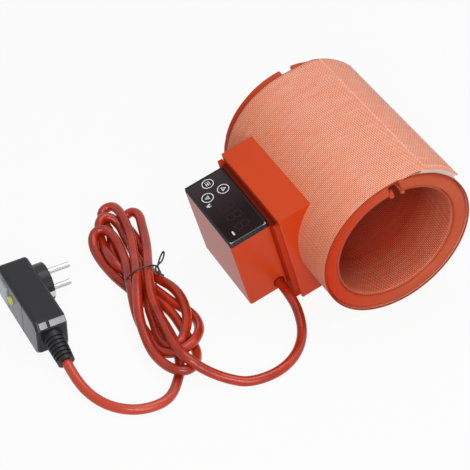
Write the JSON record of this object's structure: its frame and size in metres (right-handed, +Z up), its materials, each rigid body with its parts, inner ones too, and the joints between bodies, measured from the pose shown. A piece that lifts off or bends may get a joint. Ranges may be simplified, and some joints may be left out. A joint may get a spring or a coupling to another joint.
{
  "type": "gas cylinder heater blanket",
  "caption": "Slit heating jacket that wraps round a small gas cylinder, with a saddle-mounted thermostat box and a tied mains lead that ends in a residual-current plug.",
  "frame": {"origin": "centre of the bore that holds the cylinder, at mid-length of the jacket", "axes": "+Y along the bore, away from the end that faces the camera; +Z up from the table, with the thermostat box on the -X side"},
  "size_m": [0.3411, 0.2363, 0.1358],
  "materials": {
    "jacket_cloth": "silicone-coated glass cloth, satin",
    "mat_cloth": "silicone-coated glass cloth, satin",
    "sponge": "silicone sponge with a fine skin",
    "moulded_silicone": "moulded silicone, soft sheen",
    "conductor": "etched foil",
    "hook_and_loop": "pile tape",
    "sensor_metal": "drawn",
    "lead_rubber": "silicone insulation",
    "panel_frame": "moulded, glossy",
    "panel_window": "dark window, glossy",
    "panel_key": "moulded, glossy",
    "inner_plastic": "moulded, matt",
    "circuit_board": "laminate",
    "small_switch": "moulded",
    "digit_display": "dark red filter",
    "relay_case": "moulded",
    "transformer": "wound and taped",
    "terminal_plastic": "moulded",
    "screw_steel": "zinc plated",
    "core_insulation": "extruded",
    "lead_sheath": "silicone sheath, satin",
    "tie_wire": "plastic-coated wire",
    "plug_plastic": "fine texture",
    "boot_rubber": "moulded, matt",
    "pin_metal": "nickel plated",
    "contact_metal": "rolled strip",
    "test_plastic": "moulded",
    "reset_plastic": "milky"
  },
  "bodies": {
    "blanket": {"heating_mat": "mat_cloth", "heating_element": "conductor", "insulation_foam": "sponge", "outer_cover": "jacket_cloth", "loop_strip": "hook_and_loop", "hook_strip": "hook_and_loop", "temperature_sensor": "sensor_metal", "heater_leads": "lead_rubber", "sensor_lead": "lead_rubber", "saddle_block": "moulded_silicone", "back_plate": "moulded_silicone", "control_box_shell": "moulded_silicone", "controller_bezel": "panel_frame", "display_window": "panel_window", "controller_case": "inner_plastic", "front_board": "circuit_board", "key_switches": "small_switch", "display_module": "digit_display", "main_board": "circuit_board", "relay": "relay_case", "mains_transformer": "transformer", "terminal_block": "terminal_plastic", "terminal_screws": "screw_steel", "cord_sheath_end": "lead_sheath", "cord_cores": "core_insulation", "cord_clamp": "inner_plastic", "clamp_screw": "screw_steel", "cord_lead": "lead_sheath", "cord_tail": "lead_sheath", "cord_hank": "lead_sheath", "cord_tie": "tie_wire", "plug_front_cover": "plug_plastic", "plug_rear_cover": "plug_plastic", "plug_screws": "screw_steel", "rcd_module": "inner_plastic", "plug_pins": "pin_metal", "earth_contacts": "contact_metal", "plug_cores": "core_insulation", "plug_strain_relief": "boot_rubber"},
    "key_menu": {"key_menu": "panel_key"},
    "key_up": {"key_up": "panel_key"},
    "key_down": {"key_down": "panel_key"},
    "test_button": {"test_button": "test_plastic"},
    "reset_button": {"reset_button": "reset_plastic"}
  },
  "joints": [
    {"name": "key_menu_press", "type": "slide", "parent": "blanket", "child": "key_menu", "axis": [0.2626, 0, -0.9649], "range_m": [0, 0.0004], "stiffness_N_per_m": 1500},
    {"name": "key_up_press", "type": "slide", "parent": "blanket", "child": "key_up", "axis": [0.2626, 0, -0.9649], "range_m": [0, 0.0004], "stiffness_N_per_m": 1500},
    {"name": "key_down_press", "type": "slide", "parent": "blanket", "child": "key_down", "axis": [0.2626, 0, -0.9649], "range_m": [0, 0.0004], "stiffness_N_per_m": 1500},
    {"name": "test_button_press", "type": "slide", "parent": "blanket", "child": "test_button", "axis": [1, 0, 0], "range_m": [0, 0.0015], "stiffness_N_per_m": 800},
    {"name": "reset_button_press", "type": "slide", "parent": "blanket", "child": "reset_button", "axis": [1, 0, 0], "range_m": [0, 0.0015], "stiffness_N_per_m": 800}
  ]
}
